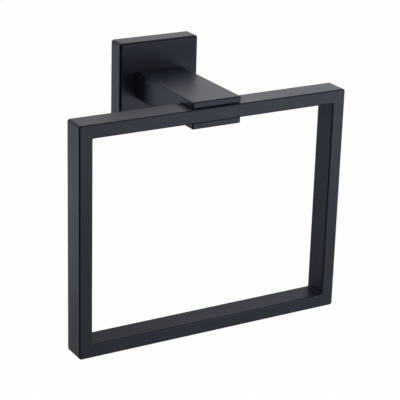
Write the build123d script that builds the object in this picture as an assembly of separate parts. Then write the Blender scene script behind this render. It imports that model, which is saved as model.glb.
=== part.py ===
from build123d import *
import os

# Towel ring: a closed rectangular ring of flat bar, clamped in the forked end of a straight arm.
# The arm is screwed to a square wall flange, and the flange hooks over a concealed wall bracket.
# Millimetres. The wall is the plane Y = 0, the part stands out along -Y, +X is right and +Z is up.
# The origin is the centre of the flange's back, on the wall.

# Ring
ring_width = 165.0  # outside, left to right
ring_height = 132.5  # outside, top to bottom
bar_face = 7.8  # narrow side of the bar, seen from the front
bar_depth = 15.0  # wide side of the bar, front to back
ring_corner_radius = 1.5  # outside corners
ring_inner_radius = 0.5  # inside corners
ring_edge_radius = 0.8  # long edges

# Arm
arm_width = 30.0
arm_length = 65.5  # from the flange's front to the tips of the lips
lip_thickness = 3.5  # each lip of the fork
slot_clearance = 0.25  # between a lip and the bar, above and below
ring_proud = 1.5  # how far the ring's front stands past the lips
arm_edge_radius = 0.8
slot_edge_radius = 0.4  # edges of the lips that face the bar

# Flange
flange_size = 50.0  # each side of the square
flange_depth = 11.0  # from the wall to its front face
flange_wall = 3.0  # four side walls
flange_front_wall = 3.0
flange_edge_radius = 1.5
cavity_corner_radius = 1.5
hook_width = 24.0
hook_share = 0.625  # share of the bracket's bevel that the hook covers
hook_clearance = 0.05  # between the hook and the bracket's bevel

# Bracket
bracket_side_clearance = 2.0  # to the flange's side walls
bracket_end_clearance = 3.0  # to the flange's top and bottom walls, room to lift the hook over
bracket_front_clearance = 1.0  # to the flange's front wall
bracket_foot = 1.5  # straight stretch of the edge, next to the wall
bracket_nose = 1.5  # straight stretch of the edge, at the front
wall_hole_spacing = 26.0
wall_hole_diameter = 4.5
wall_hole_sink_diameter = 9.0

# Screws
thread_clearance = 0.05  # round each screw, in the radius
screw_diameter = 4.0  # all the screws
sink_angle = 90  # of every countersink
arm_screw_head_diameter = 8.0
arm_screw_spacing = 16.0
arm_screw_grip = 8.0  # length of screw inside the arm
arm_hole_spare = 2.0  # depth of the arm's holes past the screw's end
arm_screw_socket = 2.5  # across flats
arm_screw_socket_depth = 1.5
grub_socket = 2.0  # across flats
grub_socket_depth = 1.6
grub_recess = 0.4  # how far a grub screw's end lies below the surface
dimple_depth = 0.8  # in the ring, for the point of its grub screw
dimple_clearance = 0.05

# Worked out from the above
slot_height = bar_face + 2 * slot_clearance
slot_depth = bar_depth - ring_proud
arm_height = slot_height + 2 * lip_thickness
arm_front = flange_depth + arm_length
ring_front = arm_front + ring_proud
ring_back = ring_front - bar_depth
ring_centre_height = (bar_face - ring_height) / 2
lock_depth = arm_front - slot_depth / 2
cavity_size = flange_size - 2 * flange_wall
cavity_depth = flange_depth - flange_front_wall
bracket_width = cavity_size - 2 * bracket_side_clearance
bracket_height = cavity_size - 2 * bracket_end_clearance
bracket_thickness = cavity_depth - bracket_front_clearance
bracket_bevel = bracket_thickness - bracket_foot - bracket_nose
hook_reach = hook_share * bracket_bevel
grub_depth = bracket_foot + bracket_bevel / 2
screw_radius = screw_diameter / 2
thread_hole_radius = screw_radius + thread_clearance

# Looking at the wall: local x is right, local y is up, and the normal points away from the wall
front_view = Plane.XZ
# Looking along the wall: local x is the distance from the wall, and local y is up
side_view = Plane(origin=(0, 0, 0), x_dir=(0, -1, 0), z_dir=(-1, 0, 0))


def height_of(edge):
    """Distance of an edge's middle from the arm's axis, up or down."""
    return abs(edge.center().Z)


def make_ring():
    """Closed rectangular ring, its top bar centred on the arm's axis."""
    with BuildPart() as ring:
        with BuildSketch(front_view.offset(ring_back)):
            with Locations((0, ring_centre_height)):
                RectangleRounded(ring_width, ring_height, ring_corner_radius)
                inner_width = ring_width - 2 * bar_face
                inner_height = ring_height - 2 * bar_face
                RectangleRounded(inner_width, inner_height, ring_inner_radius, mode=Mode.SUBTRACT)
        extrude(amount=bar_depth)
        front_and_back = ring.faces().filter_by(Axis.Y)
        fillet(front_and_back.edges(), ring_edge_radius)
        dimple = dimple_depth + dimple_clearance
        with Locations((0, -lock_depth, -bar_face / 2)):
            Cone(dimple, 0, dimple, align=(Align.CENTER, Align.CENTER, Align.MIN), mode=Mode.SUBTRACT)
    return ring.part


def make_arm():
    """Straight arm with a fork at its front, which takes the ring's top bar."""
    lip_inside = slot_height / 2
    mid_lip = lip_inside + lip_thickness / 2
    slot_root = slot_depth - arm_front
    with BuildPart() as arm:
        with BuildSketch(side_view):
            with Locations((flange_depth, 0)):
                Rectangle(arm_length, arm_height, align=(Align.MIN, Align.CENTER))
            with Locations((arm_front, 0)):
                Rectangle(slot_depth, slot_height, align=(Align.MAX, Align.CENTER), mode=Mode.SUBTRACT)
        extrude(amount=arm_width / 2, both=True)
        long_edges = arm.edges().filter_by(Axis.Y).filter_by(lambda edge: height_of(edge) > mid_lip)
        lip_tips = arm.faces().filter_by(Axis.Y).sort_by(Axis.Y)[:2]
        tip_edges = lip_tips.edges().filter_by(lambda edge: height_of(edge) > lip_inside + slot_edge_radius)
        fillet(long_edges + tip_edges, arm_edge_radius)
        mouth = arm.edges().filter_by(lambda edge: abs(height_of(edge) - lip_inside) < slot_edge_radius / 2)
        fillet(mouth.filter_by(lambda edge: edge.center().Y < slot_root - slot_edge_radius), slot_edge_radius)
        with BuildSketch(front_view.offset(flange_depth)):
            with GridLocations(arm_screw_spacing, 0, 2, 1):
                Circle(thread_hole_radius)
        extrude(amount=arm_screw_grip + arm_hole_spare, mode=Mode.SUBTRACT)
        with BuildSketch(Plane.XY.offset(-arm_height / 2)):
            with Locations((0, -lock_depth)):
                Circle(thread_hole_radius)
        extrude(amount=arm_height / 2, mode=Mode.SUBTRACT)
    return arm.part


def make_flange():
    """Square dish, open towards the wall, with a hook inside its top wall."""
    hook_front = bracket_foot + bracket_bevel
    hook_back = hook_front - hook_reach
    hook_top = flange_size / 2 - flange_wall / 2
    edge_height = bracket_height / 2 + hook_clearance
    with BuildPart() as flange:
        with BuildSketch(front_view):
            Rectangle(flange_size, flange_size)
        extrude(amount=flange_depth)
        front_face = flange.faces().sort_by(Axis.Y)[0]
        fillet(flange.edges().filter_by(Axis.Y) + front_face.edges(), flange_edge_radius)
        with BuildSketch(front_view):
            RectangleRounded(cavity_size, cavity_size, cavity_corner_radius)
        extrude(amount=cavity_depth, mode=Mode.SUBTRACT)
        with BuildSketch(side_view):
            with BuildLine():
                Polyline(
                    (hook_back, edge_height - hook_reach),
                    (hook_front, edge_height),
                    (hook_front, hook_top),
                    (hook_back, hook_top),
                    close=True,
                )
            make_face()
        extrude(amount=hook_width / 2, both=True)
        with Locations(Plane(origin=(0, -cavity_depth, 0), x_dir=(1, 0, 0), z_dir=(0, 1, 0))):
            with GridLocations(arm_screw_spacing, 0, 2, 1):
                sink_radius = arm_screw_head_diameter / 2 + thread_clearance
                CounterSinkHole(thread_hole_radius, sink_radius, flange_front_wall, sink_angle)
        with BuildSketch(Plane.XY.offset(-flange_size / 2)):
            with Locations((0, -grub_depth)):
                Circle(thread_hole_radius)
        extrude(amount=flange_wall, mode=Mode.SUBTRACT)
    return flange.part


def make_wall_bracket():
    """Block on the wall, its top and bottom edges undercut so that the flange is drawn to the wall."""
    nose_height = bracket_height / 2
    foot_height = nose_height - bracket_bevel
    bevel_end = bracket_foot + bracket_bevel
    with BuildPart() as bracket:
        with BuildSketch(side_view):
            with BuildLine():
                Polyline(
                    (0, 0),
                    (0, foot_height),
                    (bracket_foot, foot_height),
                    (bevel_end, nose_height),
                    (bracket_thickness, nose_height),
                    (bracket_thickness, 0),
                )
                mirror(about=Plane.XZ)
            make_face()
        extrude(amount=bracket_width / 2, both=True)
        with Locations(front_view.offset(bracket_thickness)):
            with GridLocations(wall_hole_spacing, 0, 2, 1):
                CounterSinkHole(
                    wall_hole_diameter / 2, wall_hole_sink_diameter / 2, bracket_thickness, sink_angle
                )
    return bracket.part


def make_grub_screw(length):
    """Headless screw along Z, its right-angled point at the origin and its socket at the lower end."""
    with BuildPart() as screw:
        with BuildSketch(Plane.XZ):
            with BuildLine():
                Polyline((0, 0), (screw_radius, -screw_radius), (screw_radius, -length), (0, -length), close=True)
            make_face()
        revolve(axis=Axis.Z)
        with BuildSketch(Plane.XY.offset(-length)):
            RegularPolygon(grub_socket / 2, 6, major_radius=False)
        extrude(amount=grub_socket_depth, mode=Mode.SUBTRACT)
    return screw.part


def make_arm_screws():
    """Countersunk screws from behind the flange into the arm."""
    head_radius = arm_screw_head_diameter / 2
    head_depth = head_radius - screw_radius
    length = flange_front_wall + arm_screw_grip
    with BuildPart() as screw:
        with BuildSketch(side_view):
            with BuildLine():
                Polyline(
                    (cavity_depth, 0),
                    (cavity_depth, head_radius),
                    (cavity_depth + head_depth, screw_radius),
                    (cavity_depth + length, screw_radius),
                    (cavity_depth + length, 0),
                    close=True,
                )
            make_face()
        revolve(axis=Axis.Y)
        with BuildSketch(front_view.offset(cavity_depth)):
            RegularPolygon(arm_screw_socket / 2, 6, major_radius=False)
        extrude(amount=arm_screw_socket_depth, mode=Mode.SUBTRACT)
    places = GridLocations(arm_screw_spacing, 0, 2, 1)
    return Compound(children=[place * screw.part for place in places])


bevel_contact = bracket_height / 2 - bracket_bevel / 2
flange_grub_length = flange_size / 2 - grub_recess - bevel_contact
ring_grub_tip = bar_face / 2 - dimple_depth
ring_grub_length = arm_height / 2 - grub_recess - ring_grub_tip

nodes = {
    "ring": make_ring(),
    "arm": make_arm(),
    "flange": make_flange(),
    "wall_bracket": make_wall_bracket(),
    "flange_grub_screw": Pos(0, -grub_depth, -bevel_contact) * make_grub_screw(flange_grub_length),
    "ring_grub_screw": Pos(0, -lock_depth, -ring_grub_tip) * make_grub_screw(ring_grub_length),
    "arm_screws": make_arm_screws(),
}

os.makedirs("parts", exist_ok=True)
for name, shape in nodes.items():
    export_step(shape, f"parts/{name}.step")
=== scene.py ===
import math

import bpy
from bpy.props import FloatProperty, FloatVectorProperty, PointerProperty
from mathutils import Matrix, Vector


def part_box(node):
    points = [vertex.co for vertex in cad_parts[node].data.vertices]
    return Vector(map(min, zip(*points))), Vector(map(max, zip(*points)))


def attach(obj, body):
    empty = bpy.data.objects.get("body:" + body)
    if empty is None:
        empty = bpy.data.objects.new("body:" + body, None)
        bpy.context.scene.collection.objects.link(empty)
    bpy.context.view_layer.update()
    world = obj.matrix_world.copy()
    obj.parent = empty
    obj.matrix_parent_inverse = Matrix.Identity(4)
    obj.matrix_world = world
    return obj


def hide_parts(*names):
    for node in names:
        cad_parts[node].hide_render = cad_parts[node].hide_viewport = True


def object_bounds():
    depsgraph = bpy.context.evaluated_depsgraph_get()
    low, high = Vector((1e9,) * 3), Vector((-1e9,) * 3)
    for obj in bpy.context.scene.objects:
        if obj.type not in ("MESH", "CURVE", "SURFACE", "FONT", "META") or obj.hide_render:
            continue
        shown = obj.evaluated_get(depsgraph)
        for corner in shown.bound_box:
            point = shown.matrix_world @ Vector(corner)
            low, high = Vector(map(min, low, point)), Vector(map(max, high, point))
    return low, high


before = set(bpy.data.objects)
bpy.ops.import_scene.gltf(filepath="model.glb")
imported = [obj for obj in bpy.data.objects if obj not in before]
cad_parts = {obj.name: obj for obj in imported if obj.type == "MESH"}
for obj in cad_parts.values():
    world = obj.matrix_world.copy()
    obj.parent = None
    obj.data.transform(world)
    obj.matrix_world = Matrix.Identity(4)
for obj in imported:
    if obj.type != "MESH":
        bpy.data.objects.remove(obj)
cad_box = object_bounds()
part_middle = (cad_box[0] + cad_box[1]) / 2

bl_info = {
    "name": "Towel Ring",
    "version": (1, 0, 0),
    "blender": (4, 5, 0),
    "location": "View3D > Sidebar > Towel Ring",
    "description": "Finishes a wall-mounted towel ring and sets up its studio",
    "category": "Object",
}

MILLIMETRE = 0.001
WHITE = (1.0, 1.0, 1.0, 1.0)

# Places of the colour sockets on a Mix node, where several sockets share a name
MIX_FIRST_COLOUR = 6
MIX_SECOND_COLOUR = 7
MIX_RESULT_COLOUR = 2

# Fine grain: size and stretch unless a material sets them, its noise, and the ends of its mask
DEFAULT_GRAIN_SIZE = 0.4 * MILLIMETRE
NO_STRETCH = 1.0
GRAIN_DETAIL = 3.0
GRAIN_CRISPNESS = 0.55
GRAIN_MASK_START = 0.38
GRAIN_MASK_FULL = 0.62

# Soft clouds: size unless a material sets it, their noise, and the ends of their mask
DEFAULT_CLOUD_SIZE = 20 * MILLIMETRE
CLOUD_DETAIL = 4.0
CLOUD_SWIRL = 0.4
CLOUD_MASK_START = 0.3
CLOUD_MASK_FULL = 0.7

# Rounded edges: how far a normal lies along its nearest axis where their mask starts and is full
EDGE_MASK_START = 0.98
EDGE_MASK_FULL = 0.82

# Coat: what clouds, grain and edges do to its colour and roughness, and the parts of its texture; the
# edges' darker colour is painted shade
COAT_CLOUD_SIZE = 26 * MILLIMETRE
COAT_CLOUD_TINT = 1.25
COAT_CLOUD_ROUGHNESS = 0.025
COAT_GRAIN_ROUGHNESS = 0.03
COAT_EDGE_ROUGHNESS = -0.04
COAT_RIPPLE_SHARE = 0.7
COAT_GRAIN_SHARE = 0.3
COAT_BUMP = 1.0

# Metal: what clouds and grain do to its colour and roughness, and the depth of its grain
METAL_CLOUD_SIZE = 7 * MILLIMETRE
METAL_CLOUD_TINT = 0.78
METAL_CLOUD_SMOOTHER = 0.05
METAL_CLOUD_ROUGHER = 0.08
METAL_GRAIN_SIZE = 0.22 * MILLIMETRE
METAL_GRAIN_TINT = 0.88
METAL_GRAIN_SHARE = 0.35
METAL_GRAIN_ROUGHNESS = 0.06
METAL_GRAIN_DEPTH = 0.008 * MILLIMETRE
METAL_BUMP = 0.6
PLATING_ROUGHNESS = 0.5
PLATING_STRETCH = 9.0
STEEL_ROUGHNESS = 0.3

# Screw meshes: points round the axis, rows to a turn of thread, and the turn that shows as an edge
SCREW_SIDES = 48
ROWS_PER_THREAD = 12
SHARP_TURN = math.radians(32)
SIXTH_TURN = math.tau / 6

# Thread, in shares of its pitch: depth, flat root, both flanks together, and chamfer at an end
THREAD_DEPTH = 0.54
THREAD_ROOT = 0.25
THREAD_FLANKS = 0.625
END_CHAMFER = 0.6

# Socket, in shares of its width across flats: chamfer at the rim and drilled point at the bottom
SOCKET_CHAMFER = 0.1
SOCKET_POINT = 0.15

# Floor: half its width, its roughness, and the share of plain white that it shows
FLOOR_HALF = 6.0
FLOOR_ROUGHNESS = 0.9
FLOOR_WHITE_SHARE = 0.99

# Each softbox: setting of its brightness, its place from the part's middle, its width and its height
SOFTBOXES = {
    "key_softbox": ("key_light", (0.31, -0.48, -0.01), 0.50, 0.33),
    "back_softbox": ("back_light", (0.42, 0.42, 0.32), 0.35, 0.25),
    "top_softbox": ("top_light", (0.08, 0.25, 0.45), 0.80, 0.40),
    "side_softbox": ("side_light", (-0.23, 0.485, 0.03), 0.36, 0.66),
}

# Each dark card, which only the gloss sees: its place from the part's middle, its turn in degrees
# from facing the front, its tilt in degrees from upright, its width and its height
DARK_CARDS = {
    "front_left_card": ((-0.34, -0.36, -0.03), -43, 0, 0.90, 0.95),
    "side_card": ((-0.44, 0.60, -0.13), 36, 0, 0.66, 1.00),
    "left_card": ((-0.58, 0.17, -0.03), 70, 0, 0.47, 0.95),
    "back_card": ((0.175, 0.24, -0.11), 0, 0, 0.47, 0.36),
    "upper_back_card": ((-0.20, 0.50, 0.27), 0, 0, 0.35, 0.30),
    "overhead_card": ((0.30, -0.20, 0.52), 0, 90, 0.60, 0.40),
    "under_card": ((0.24, 0.17, -0.40), 0, 90, 0.50, 0.50),
    "right_card": ((0.55, 0.32, -0.22), -60, 0, 0.40, 0.35),
}
CARD_COLOUR = (0.02, 0.02, 0.02, 1.0)


# Settings

class CoatSettings(bpy.types.PropertyGroup):
    """Satin black powder coat of the ring, the arm and the flange."""

    colour: FloatVectorProperty(
        name="Coat colour", description="Pigment of the coat", subtype="COLOR",
        size=3, min=0.0, max=1.0, default=(0.0140, 0.0168, 0.0245))
    # Painted shade: a darker colour laid on the rounded edges, in place of the dark reflections their
    # fillets catch
    edge_shade_colour: FloatVectorProperty(
        name="Edge colour", description="Pigment where the coat runs thin over rounded edges",
        subtype="COLOR", size=3, min=0.0, max=1.0, default=(0.004, 0.006, 0.012))
    roughness: FloatProperty(
        name="Coat roughness", description="Mean roughness of the satin surface", subtype="FACTOR",
        min=0.0, max=1.0, default=0.36)
    shine: FloatProperty(
        name="Coat shine", description="Strength of the coat's reflections", subtype="FACTOR",
        min=0.0, max=1.0, default=0.15)
    peel_size: FloatProperty(
        name="Peel size", description="Width of the soft ripples that the coat flows into",
        unit="LENGTH", min=0.0001, default=1.6 * MILLIMETRE)
    grain_size: FloatProperty(
        name="Grain size", description="Width of the powder's fine grain", unit="LENGTH",
        min=0.0001, default=0.35 * MILLIMETRE)
    texture_depth: FloatProperty(
        name="Texture depth", description="Height of the ripples and the grain together",
        unit="LENGTH", min=0.0, default=0.016 * MILLIMETRE)


class FastenerSettings(bpy.types.PropertyGroup):
    """Plated wall bracket and steel screws."""

    plating_colour: FloatVectorProperty(
        name="Plating colour", description="Zinc plating of the wall bracket", subtype="COLOR",
        size=3, min=0.0, max=1.0, default=(0.66, 0.67, 0.68))
    steel_colour: FloatVectorProperty(
        name="Steel colour", description="Bare steel of the screws", subtype="COLOR",
        size=3, min=0.0, max=1.0, default=(0.5, 0.49, 0.47))
    thread_pitch: FloatProperty(
        name="Thread pitch", description="Distance from one turn of the thread to the next",
        unit="LENGTH", min=0.0001, default=0.7 * MILLIMETRE)
    grub_socket: FloatProperty(
        name="Grub socket", description="Socket of a grub screw, across flats", unit="LENGTH",
        min=0.0001, default=2.0 * MILLIMETRE)
    grub_socket_depth: FloatProperty(
        name="Grub socket depth", description="Depth of a grub screw's socket", unit="LENGTH",
        min=0.0001, default=1.6 * MILLIMETRE)
    arm_socket: FloatProperty(
        name="Arm screw socket", description="Socket of an arm screw, across flats", unit="LENGTH",
        min=0.0001, default=2.5 * MILLIMETRE)
    arm_socket_depth: FloatProperty(
        name="Arm screw socket depth", description="Depth of an arm screw's socket", unit="LENGTH",
        min=0.0001, default=1.5 * MILLIMETRE)


class StageSettings(bpy.types.PropertyGroup):
    """Camera, lamps, floor and background."""

    azimuth: FloatProperty(
        name="Azimuth", description="Camera's turn round the part, left of the front below zero",
        subtype="ANGLE", default=math.radians(-30.451))
    elevation: FloatProperty(
        name="Elevation", description="Camera's height above the horizon", subtype="ANGLE",
        default=math.radians(20.412))
    roll: FloatProperty(
        name="Roll", description="Camera's turn about its own line of sight", subtype="ANGLE",
        default=math.radians(1.659))
    distance: FloatProperty(
        name="Distance", description="From the camera to the point that it aims at", unit="LENGTH",
        min=0.01, default=0.82881)
    lens: FloatProperty(
        name="Lens", description="Focal length of the camera", unit="CAMERA",
        min=1.0, default=137.13)
    aim: FloatVectorProperty(
        name="Aim",
        description="Point that the camera aims at, from the middle of the ring's upper front edge",
        subtype="TRANSLATION", size=3, default=(-0.009989, 0.0, -0.051637))
    floor_drop: FloatProperty(
        name="Floor drop", description="From the lowest point of the part down to the floor",
        unit="LENGTH", min=0.0, default=0.37)
    floor_colour: FloatVectorProperty(
        name="Floor colour", description="Pale floor", subtype="COLOR",
        size=3, min=0.0, max=1.0, default=(0.8, 0.8, 0.8))
    surround: FloatProperty(
        name="Surround", description="Strength of the soft light from all round",
        min=0.0, default=0.3)
    lamp_colour: FloatVectorProperty(
        name="Lamp colour", description="Slightly cool daylight of the softboxes", subtype="COLOR",
        size=3, min=0.0, max=1.0, default=(0.80, 0.885, 1.0))
    key_light: FloatProperty(
        name="Key light", description="Brightness of the softbox on the front right",
        min=0.0, default=3.55)
    back_light: FloatProperty(
        name="Back light", description="Brightness of the softbox high on the back right",
        min=0.0, default=0.78)
    top_light: FloatProperty(
        name="Top light", description="Brightness of the softbox overhead",
        min=0.0, default=1.1)
    side_light: FloatProperty(
        name="Side light", description="Brightness of the softbox on the back left",
        min=0.0, default=1.45)


# Node helpers

def add_node(tree, kind, **settings):
    """New node of a kind, with its own settings."""
    node = tree.nodes.new(kind)
    for name, value in settings.items():
        setattr(node, name, value)
    return node


def feed(tree, socket, source):
    """Sets a socket to a number or a colour, or links it to another node's output."""
    if isinstance(source, bpy.types.NodeSocket):
        tree.links.new(source, socket)
    else:
        socket.default_value = source


def calculate(tree, operation, first, second, clamp=False):
    """Output of a Math node."""
    node = add_node(tree, "ShaderNodeMath", operation=operation, use_clamp=clamp)
    feed(tree, node.inputs[0], first)
    feed(tree, node.inputs[1], second)
    return node.outputs[0]


def remap(tree, value, low, high, new_low, new_high):
    """Output of a Map Range node that keeps within its ends."""
    node = add_node(tree, "ShaderNodeMapRange")
    for socket, source in zip(node.inputs, (value, low, high, new_low, new_high)):
        feed(tree, socket, source)
    return node.outputs[0]


def blend_colours(tree, share, first, second):
    """Colour between two colours."""
    node = add_node(tree, "ShaderNodeMix", data_type="RGBA")
    feed(tree, node.inputs["Factor"], share)
    feed(tree, node.inputs[MIX_FIRST_COLOUR], first)
    feed(tree, node.inputs[MIX_SECOND_COLOUR], second)
    return node.outputs[MIX_RESULT_COLOUR]


def blend_shaders(tree, share, first, second, surface):
    """Links a blend of two shaders to a surface."""
    mix = add_node(tree, "ShaderNodeMixShader")
    tree.links.new(share, mix.inputs[0])
    tree.links.new(first.outputs[0], mix.inputs[1])
    tree.links.new(second.outputs[0], mix.inputs[2])
    tree.links.new(mix.outputs[0], surface)


def raise_surface(tree, shader, height, depth, strength):
    """Bumps a shader's surface by a height that changes over it."""
    bump = add_node(tree, "ShaderNodeBump")
    bump.inputs["Strength"].default_value = strength
    bump.inputs["Distance"].default_value = depth
    tree.links.new(height, bump.inputs["Height"])
    tree.links.new(bump.outputs["Normal"], shader.inputs["Normal"])


def opaque(colour):
    """Colour setting as a colour with full alpha."""
    return (*colour, 1.0)


def tinted(colour, factor):
    """Colour setting times a factor, with full alpha."""
    return opaque(factor * part for part in colour)


def new_group(name, inputs, outputs):
    """Empty shader node group with number sockets, and its input and output nodes."""
    tree = bpy.data.node_groups.new(name, "ShaderNodeTree")
    for label, default in inputs.items():
        socket = tree.interface.new_socket(label, in_out="INPUT", socket_type="NodeSocketFloat")
        socket.default_value = default
    for label in outputs:
        tree.interface.new_socket(label, in_out="OUTPUT", socket_type="NodeSocketFloat")
    return tree, add_node(tree, "NodeGroupInput"), add_node(tree, "NodeGroupOutput")


def place_group(tree, group, **values):
    """Node group placed in a material, with its own values."""
    node = add_node(tree, "ShaderNodeGroup", node_tree=group)
    for label, value in values.items():
        node.inputs[label.title()].default_value = value
    return node


# Effects that several materials share

def grain_group():
    """Tight random grain of a given size, as a height and as a mask."""
    name = "fine_grain"
    if name in bpy.data.node_groups:
        return bpy.data.node_groups[name]
    inputs = {"Size": DEFAULT_GRAIN_SIZE, "Stretch": NO_STRETCH}
    tree, start, end = new_group(name, inputs, ("Height", "Mask"))
    place = add_node(tree, "ShaderNodeTexCoord").outputs["Object"]
    squeeze = add_node(tree, "ShaderNodeCombineXYZ")
    tree.links.new(start.outputs["Stretch"], squeeze.inputs["X"])
    squeeze.inputs["Y"].default_value = NO_STRETCH
    squeeze.inputs["Z"].default_value = NO_STRETCH
    drawn = add_node(tree, "ShaderNodeVectorMath", operation="DIVIDE")
    tree.links.new(place, drawn.inputs[0])
    tree.links.new(squeeze.outputs[0], drawn.inputs[1])
    noise = add_node(tree, "ShaderNodeTexNoise")
    noise.inputs["Detail"].default_value = GRAIN_DETAIL
    noise.inputs["Roughness"].default_value = GRAIN_CRISPNESS
    tree.links.new(drawn.outputs[0], noise.inputs["Vector"])
    tree.links.new(calculate(tree, "DIVIDE", 1.0, start.outputs["Size"]), noise.inputs["Scale"])
    tree.links.new(noise.outputs["Fac"], end.inputs["Height"])
    mask = remap(tree, noise.outputs["Fac"], GRAIN_MASK_START, GRAIN_MASK_FULL, 0.0, 1.0)
    tree.links.new(mask, end.inputs["Mask"])
    return tree


def cloud_group():
    """Broad uneven patches, as a mask."""
    name = "soft_clouds"
    if name in bpy.data.node_groups:
        return bpy.data.node_groups[name]
    tree, start, end = new_group(name, {"Size": DEFAULT_CLOUD_SIZE}, ("Mask",))
    place = add_node(tree, "ShaderNodeTexCoord").outputs["Object"]
    noise = add_node(tree, "ShaderNodeTexNoise")
    noise.inputs["Detail"].default_value = CLOUD_DETAIL
    noise.inputs["Distortion"].default_value = CLOUD_SWIRL
    tree.links.new(place, noise.inputs["Vector"])
    tree.links.new(calculate(tree, "DIVIDE", 1.0, start.outputs["Size"]), noise.inputs["Scale"])
    mask = remap(tree, noise.outputs["Fac"], CLOUD_MASK_START, CLOUD_MASK_FULL, 0.0, 1.0)
    tree.links.new(mask, end.inputs["Mask"])
    return tree


# Materials

def new_material(name):
    """New material, its node tree and its Principled shader."""
    material = bpy.data.materials.new(name)
    material.use_nodes = True
    return material, material.node_tree, material.node_tree.nodes["Principled BSDF"]


def rounded_edges(tree):
    """Mask of the rounded edges: a flat face looks along an axis, and only an edge between two."""
    normal = add_node(tree, "ShaderNodeNewGeometry").outputs["Normal"]
    size = add_node(tree, "ShaderNodeVectorMath", operation="ABSOLUTE")
    tree.links.new(normal, size.inputs[0])
    parts = add_node(tree, "ShaderNodeSeparateXYZ")
    tree.links.new(size.outputs[0], parts.inputs[0])
    widest = calculate(tree, "MAXIMUM", parts.outputs["X"], parts.outputs["Y"])
    largest = calculate(tree, "MAXIMUM", widest, parts.outputs["Z"])
    return remap(tree, largest, EDGE_MASK_START, EDGE_MASK_FULL, 0.0, 1.0)


def coat_material(settings):
    """Satin black powder coat with ripples, fine grain and smoother rounded edges in painted shade."""
    name = "black_coat_finish"
    if name in bpy.data.materials:
        return bpy.data.materials[name]
    material, tree, shader = new_material(name)
    peel = place_group(tree, grain_group(), size=settings.peel_size)
    grain = place_group(tree, grain_group(), size=settings.grain_size)
    clouds = place_group(tree, cloud_group(), size=COAT_CLOUD_SIZE)
    edges = rounded_edges(tree)

    dusted = tinted(settings.colour, COAT_CLOUD_TINT)
    mottled = blend_colours(tree, clouds.outputs["Mask"], opaque(settings.colour), dusted)
    # Painted shade: the rounded edges are blended towards the darker edge colour
    edge_shaded = blend_colours(tree, edges, mottled, opaque(settings.edge_shade_colour))
    tree.links.new(edge_shaded, shader.inputs["Base Color"])

    smoother = settings.roughness - COAT_CLOUD_ROUGHNESS
    rougher = settings.roughness + COAT_CLOUD_ROUGHNESS
    cloudy = remap(tree, clouds.outputs["Mask"], 0.0, 1.0, smoother, rougher)
    grainy = remap(
        tree, grain.outputs["Mask"], 0.0, 1.0, -COAT_GRAIN_ROUGHNESS, COAT_GRAIN_ROUGHNESS)
    uneven = calculate(tree, "ADD", cloudy, grainy)
    smoothed = calculate(tree, "MULTIPLY", edges, COAT_EDGE_ROUGHNESS)
    tree.links.new(calculate(tree, "ADD", uneven, smoothed), shader.inputs["Roughness"])

    ripples = calculate(tree, "MULTIPLY", peel.outputs["Height"], COAT_RIPPLE_SHARE)
    speckle = calculate(tree, "MULTIPLY", grain.outputs["Height"], COAT_GRAIN_SHARE)
    height = calculate(tree, "ADD", ripples, speckle)
    raise_surface(tree, shader, height, settings.texture_depth, COAT_BUMP)
    shader.inputs["Specular IOR Level"].default_value = settings.shine
    return material


def metal_material(name, colour, roughness, stretch):
    """Bare or plated metal with drawn grain and cloudy patches."""
    if name in bpy.data.materials:
        return bpy.data.materials[name]
    material, tree, shader = new_material(name)
    grain = place_group(tree, grain_group(), size=METAL_GRAIN_SIZE, stretch=stretch)
    clouds = place_group(tree, cloud_group(), size=METAL_CLOUD_SIZE)

    dull = tinted(colour, METAL_CLOUD_TINT)
    patchy = blend_colours(tree, clouds.outputs["Mask"], opaque(colour), dull)
    share = calculate(tree, "MULTIPLY", grain.outputs["Mask"], METAL_GRAIN_SHARE)
    streaked = blend_colours(tree, share, patchy, tinted(colour, METAL_GRAIN_TINT))
    tree.links.new(streaked, shader.inputs["Base Color"])

    smoother = roughness - METAL_CLOUD_SMOOTHER
    rougher = roughness + METAL_CLOUD_ROUGHER
    cloudy = remap(tree, clouds.outputs["Mask"], 0.0, 1.0, smoother, rougher)
    drawn = remap(
        tree, grain.outputs["Mask"], 0.0, 1.0, -METAL_GRAIN_ROUGHNESS, METAL_GRAIN_ROUGHNESS)
    tree.links.new(calculate(tree, "ADD", cloudy, drawn), shader.inputs["Roughness"])

    raise_surface(tree, shader, grain.outputs["Height"], METAL_GRAIN_DEPTH, METAL_BUMP)
    shader.inputs["Metallic"].default_value = 1.0
    return material


def steel_material(settings):
    """Bare steel of all the screws."""
    return metal_material("screw_steel_finish", settings.steel_colour, STEEL_ROUGHNESS, NO_STRETCH)


def finish_node(node, material):
    """Gives a CAD node its finish."""
    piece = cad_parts[node]
    for slot in piece.material_slots:
        slot.material = material


# Screws

def ring_of_points(height, radius_at):
    """Points round the axis at a height, each at its own radius."""
    points = []
    for side in range(SCREW_SIDES):
        angle = math.tau * side / SCREW_SIDES
        radius = radius_at(angle)
        points.append(Vector((radius * math.cos(angle), radius * math.sin(angle), height)))
    return points


def hexagon(flats):
    """Radius of a hexagon at an angle, given its width across flats."""
    return lambda angle: flats / 2 / math.cos(angle % SIXTH_TURN - SIXTH_TURN / 2)


def circle(radius):
    """Radius of a circle, the same at every angle."""
    return lambda angle: radius


def thread_radius(crest, pitch, height, angle):
    """Radius of a single-start thread at a height and an angle: crest, flank, root and flank again."""
    depth = THREAD_DEPTH * pitch
    phase = (height / pitch - angle / math.tau) % 1.0
    from_root = abs(2 * phase - 1)
    climb = min(max((from_root - THREAD_ROOT) / THREAD_FLANKS, 0.0), 1.0)
    return crest - depth * (1 - climb)


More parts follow.
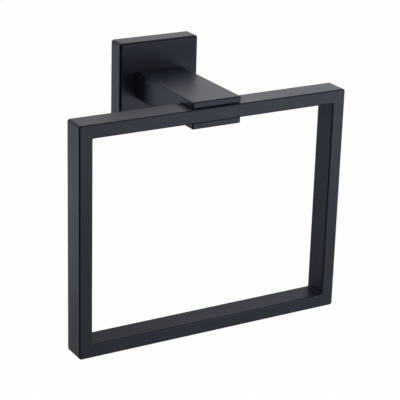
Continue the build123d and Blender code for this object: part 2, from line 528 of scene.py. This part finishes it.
def screw_rows(flats, socket_depth, length, outline, crest, pitch, thread_start):
    """Rows of points from the bottom of the socket, over the rim and along the thread to the tip."""
    chamfer = SOCKET_CHAMFER * flats
    corner = flats / 2 / math.cos(SIXTH_TURN / 2)
    rows = [
        [Vector((0, 0, socket_depth + SOCKET_POINT * flats))],
        ring_of_points(socket_depth, hexagon(flats)),
        ring_of_points(chamfer, hexagon(flats)),
        ring_of_points(0.0, circle(corner + chamfer / 2)),
    ]
    steps = round(length / pitch * ROWS_PER_THREAD)
    for step in range(steps):
        height = length * step / steps
        plain = outline(height)

        def radius_at(angle, height=height, plain=plain):
            if height < thread_start:
                return plain
            return min(plain, thread_radius(crest, pitch, height, angle))

        rows.append(ring_of_points(height, radius_at))
    rows.append([Vector((0, 0, length))])
    return rows


def skin_rows(rows):
    """Vertices and faces through rows of points, closed at both ends by a single point."""
    points = []
    starts = []
    for row in rows:
        starts.append(len(points))
        points.extend(row)
    faces = []
    for upper in range(len(rows) - 1):
        first = starts[upper]
        second = starts[upper + 1]
        for side in range(SCREW_SIDES):
            after = (side + 1) % SCREW_SIDES
            if len(rows[upper]) == 1:
                faces.append((first, second + after, second + side))
            elif len(rows[upper + 1]) == 1:
                faces.append((first + side, first + after, second))
            else:
                faces.append((first + side, first + after, second + after, second + side))
    return points, faces


def build_piece(name, copies, material):
    """One mesh piece from several skins, smooth except at sharp turns, riding on the part."""
    points = []
    faces = []
    for skin_points, skin_faces in copies:
        shift = len(points)
        points.extend(skin_points)
        faces.extend(tuple(corner + shift for corner in face) for face in skin_faces)
    mesh = bpy.data.meshes.new(name)
    mesh.from_pydata(points, [], faces)
    mesh.shade_smooth()
    mesh.set_sharp_from_angle(angle=SHARP_TURN)
    mesh.materials.append(material)
    piece = bpy.data.objects.new(name, mesh)
    bpy.context.scene.collection.objects.link(piece)
    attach(piece, "root")
    return piece


def grub_screw(node, name, settings):
    """Threaded headless screw in the place of a CAD node, its socket underneath."""
    low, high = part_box(node)
    crest = (high.x - low.x) / 2
    length = high.z - low.z
    end_radius = crest - END_CHAMFER * settings.thread_pitch

    def outline(height):
        return min(crest, end_radius + height, length - height)

    rows = screw_rows(settings.grub_socket, settings.grub_socket_depth, length, outline,
                      crest, settings.thread_pitch, 0.0)
    points, faces = skin_rows(rows)
    base = Vector(((low.x + high.x) / 2, (low.y + high.y) / 2, low.z))
    placed = [base + point for point in points]
    piece = build_piece(name, [(placed, faces)], steel_material(settings))
    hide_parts(node)


def arm_screws(settings):
    """Two countersunk screws with the grub screws' thread, their heads towards the wall."""
    low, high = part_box("arm_screws")
    grub_low, grub_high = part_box("ring_grub_screw")
    crest = (grub_high.x - grub_low.x) / 2
    head_radius = (high.z - low.z) / 2
    head_depth = head_radius - crest
    length = high.y - low.y
    end_radius = crest - END_CHAMFER * settings.thread_pitch

    def outline(height):
        return min(max(head_radius - height, crest), end_radius + length - height)

    rows = screw_rows(settings.arm_socket, settings.arm_socket_depth, length, outline,
                      crest, settings.thread_pitch, head_depth)
    points, faces = skin_rows(rows)
    turn = Matrix.Rotation(math.pi / 2, 4, "X")
    copies = []
    for place in (low.x + head_radius, high.x - head_radius):
        base = Matrix.Translation((place, high.y, (low.z + high.z) / 2)) @ turn
        copies.append(([base @ point for point in points], faces))
    piece = build_piece("arm_screw_threads", copies, steel_material(settings))
    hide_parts("arm_screws")


# Stage

def seen_directly(tree):
    """1 for rays from the camera, from a gloss or through glass, and 0 for the rest."""
    path = add_node(tree, "ShaderNodeLightPath").outputs
    shown = calculate(tree, "ADD", path["Is Camera Ray"], path["Is Glossy Ray"], clamp=True)
    return calculate(tree, "ADD", shown, path["Is Transmission Ray"], clamp=True)


def flat_sheet(scene, name, corners, material):
    """Sheet with four corners and a material."""
    mesh = bpy.data.meshes.new(name)
    mesh.from_pydata(corners, [], [(0, 1, 2, 3)])
    mesh.materials.append(material)
    sheet = bpy.data.objects.new(name, mesh)
    scene.collection.objects.link(sheet)
    return sheet


def make_floor(scene, settings):
    """Wide pale floor, all but white to the eye, with a trace of the part's shadow."""
    material, tree, shader = new_material("floor_finish")
    shader.inputs["Base Color"].default_value = opaque(settings.floor_colour)
    shader.inputs["Roughness"].default_value = FLOOR_ROUGHNESS
    shader.inputs["Specular IOR Level"].default_value = 0.0
    glow = add_node(tree, "ShaderNodeEmission")
    share = calculate(tree, "MULTIPLY", seen_directly(tree), FLOOR_WHITE_SHARE)
    blend_shaders(tree, share, shader, glow, tree.nodes["Material Output"].inputs["Surface"])
    level = cad_box[0].z - settings.floor_drop
    half = FLOOR_HALF
    corners = [(-half, -half, level), (half, -half, level), (half, half, level), (-half, half, level)]
    floor = flat_sheet(scene, "floor", corners, material)


def make_background(scene, settings):
    """White background that also gives a soft light from all round."""
    world = bpy.data.worlds.new("studio")
    world.use_nodes = True
    tree = world.node_tree
    soft = tree.nodes["Background"]
    soft.inputs["Color"].default_value = WHITE
    soft.inputs["Strength"].default_value = settings.surround
    white = add_node(tree, "ShaderNodeBackground")
    white.inputs["Color"].default_value = WHITE
    white.inputs["Strength"].default_value = 1.0
    surface = tree.nodes["World Output"].inputs["Surface"]
    blend_shaders(tree, seen_directly(tree), soft, white, surface)
    scene.world = world


def make_softboxes(scene, settings):
    """Soft lamps round the part, all facing its middle, with power in step with their area."""
    for name, (brightness, place, width, height) in SOFTBOXES.items():
        data = bpy.data.lights.new(name, "AREA")
        data.shape = "RECTANGLE"
        data.size = width
        data.size_y = height
        data.color = settings.lamp_colour
        data.energy = getattr(settings, brightness) * math.pi * width * height
        lamp = bpy.data.objects.new(name, data)
        lamp.location = part_middle + Vector(place)
        lamp.rotation_mode = "QUATERNION"
        lamp.rotation_quaternion = Vector(place).to_track_quat("Z", "Y")
        scene.collection.objects.link(lamp)


def make_dark_cards(scene):
    """Dark cards round the part, which keep its edges and lower faces dark."""
    material, _, shader = new_material("card_finish")
    shader.inputs["Base Color"].default_value = CARD_COLOUR
    shader.inputs["Specular IOR Level"].default_value = 0.0
    for name, (place, turn, tilt, width, height) in DARK_CARDS.items():
        x = width / 2
        z = height / 2
        corners = [(-x, 0.0, -z), (x, 0.0, -z), (x, 0.0, z), (-x, 0.0, z)]
        card = flat_sheet(scene, name, corners, material)
        card.location = part_middle + Vector(place)
        card.rotation_euler = (math.radians(tilt), 0.0, math.radians(turn))
        card.visible_camera = False
        card.visible_diffuse = False
        card.visible_transmission = False
        card.visible_shadow = False


def make_camera(scene, settings):
    """Camera at the photograph's angle."""
    azimuth = settings.azimuth
    level = math.cos(settings.elevation)
    rise = math.sin(settings.elevation)
    ahead = Vector((-math.sin(azimuth) * level, math.cos(azimuth) * level, -rise))
    low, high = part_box("ring")
    target = Vector(((low.x + high.x) / 2, low.y, high.z)) + Vector(settings.aim)
    facing = ahead.to_track_quat("-Z", "Y").to_matrix().to_4x4()
    turned = facing @ Matrix.Rotation(settings.roll, 4, "Z")
    data = bpy.data.cameras.new("camera")
    data.lens = settings.lens
    camera = bpy.data.objects.new("camera", data)
    camera.matrix_world = Matrix.Translation(target - ahead * settings.distance) @ turned
    scene.collection.objects.link(camera)
    scene.camera = camera


# Operators

class TOWELRING_OT_ring(bpy.types.Operator):
    """Coats the ring"""

    bl_idname = "towel_ring.ring"
    bl_label = "Coat the ring"

    def execute(self, context):
        finish_node("ring", coat_material(context.scene.towel_ring_coat))
        return {"FINISHED"}


class TOWELRING_OT_arm(bpy.types.Operator):
    """Coats the arm and its fork"""

    bl_idname = "towel_ring.arm"
    bl_label = "Coat the arm"

    def execute(self, context):
        finish_node("arm", coat_material(context.scene.towel_ring_coat))
        return {"FINISHED"}


class TOWELRING_OT_flange(bpy.types.Operator):
    """Coats the wall flange"""

    bl_idname = "towel_ring.flange"
    bl_label = "Coat the flange"

    def execute(self, context):
        finish_node("flange", coat_material(context.scene.towel_ring_coat))
        return {"FINISHED"}


class TOWELRING_OT_bracket(bpy.types.Operator):
    """Plates the concealed wall bracket"""

    bl_idname = "towel_ring.bracket"
    bl_label = "Plate the bracket"

    def execute(self, context):
        colour = context.scene.towel_ring_fasteners.plating_colour
        plating = metal_material(
            "plated_bracket_finish", colour, PLATING_ROUGHNESS, PLATING_STRETCH)
        finish_node("wall_bracket", plating)
        return {"FINISHED"}


class TOWELRING_OT_grub_screws(bpy.types.Operator):
    """Threads the two grub screws"""

    bl_idname = "towel_ring.grub_screws"
    bl_label = "Thread the grub screws"

    def execute(self, context):
        settings = context.scene.towel_ring_fasteners
        grub_screw("ring_grub_screw", "ring_grub_thread", settings)
        grub_screw("flange_grub_screw", "flange_grub_thread", settings)
        return {"FINISHED"}


class TOWELRING_OT_arm_screws(bpy.types.Operator):
    """Threads the two countersunk screws between the flange and the arm"""

    bl_idname = "towel_ring.arm_screws"
    bl_label = "Thread the arm screws"

    def execute(self, context):
        arm_screws(context.scene.towel_ring_fasteners)
        return {"FINISHED"}


class TOWELRING_OT_stage(bpy.types.Operator):
    """Sets up the floor, the background, the lamps and the camera"""

    bl_idname = "towel_ring.stage"
    bl_label = "Set the stage"

    def execute(self, context):
        settings = context.scene.towel_ring_stage
        make_floor(context.scene, settings)
        make_background(context.scene, settings)
        make_softboxes(context.scene, settings)
        make_dark_cards(context.scene)
        make_camera(context.scene, settings)
        context.scene.view_settings.view_transform = "Standard"
        return {"FINISHED"}


# Panel and registration

SETTINGS = {
    CoatSettings: "towel_ring_coat",
    FastenerSettings: "towel_ring_fasteners",
    StageSettings: "towel_ring_stage",
}
OPERATORS = (
    TOWELRING_OT_ring,
    TOWELRING_OT_arm,
    TOWELRING_OT_flange,
    TOWELRING_OT_bracket,
    TOWELRING_OT_grub_screws,
    TOWELRING_OT_arm_screws,
    TOWELRING_OT_stage,
)


class TOWELRING_PT_sidebar(bpy.types.Panel):
    """Settings and steps of the towel ring"""

    bl_label = "Towel Ring"
    bl_idname = "TOWELRING_PT_sidebar"
    bl_space_type = "VIEW_3D"
    bl_region_type = "UI"
    bl_category = "Towel Ring"

    def draw(self, context):
        for group, attribute in SETTINGS.items():
            settings = getattr(context.scene, attribute)
            for name in group.__annotations__:
                self.layout.prop(settings, name)
        for operator in OPERATORS:
            self.layout.operator(operator.bl_idname)


def register():
    """Registers the settings, the steps and the panel."""
    for group, attribute in SETTINGS.items():
        bpy.utils.register_class(group)
        setattr(bpy.types.Scene, attribute, PointerProperty(type=group))
    for operator in OPERATORS:
        bpy.utils.register_class(operator)
    bpy.utils.register_class(TOWELRING_PT_sidebar)


def unregister():
    """Takes away what register added."""
    bpy.utils.unregister_class(TOWELRING_PT_sidebar)
    for operator in reversed(OPERATORS):
        bpy.utils.unregister_class(operator)
    for group, attribute in SETTINGS.items():
        delattr(bpy.types.Scene, attribute)
        bpy.utils.unregister_class(group)


def main():
    """Builds the whole scene."""
    register()
    bpy.ops.towel_ring.ring()
    bpy.ops.towel_ring.arm()
    bpy.ops.towel_ring.flange()
    bpy.ops.towel_ring.bracket()
    bpy.ops.towel_ring.grub_screws()
    bpy.ops.towel_ring.arm_screws()
    bpy.ops.towel_ring.stage()


if __name__ == "__main__":
    main()
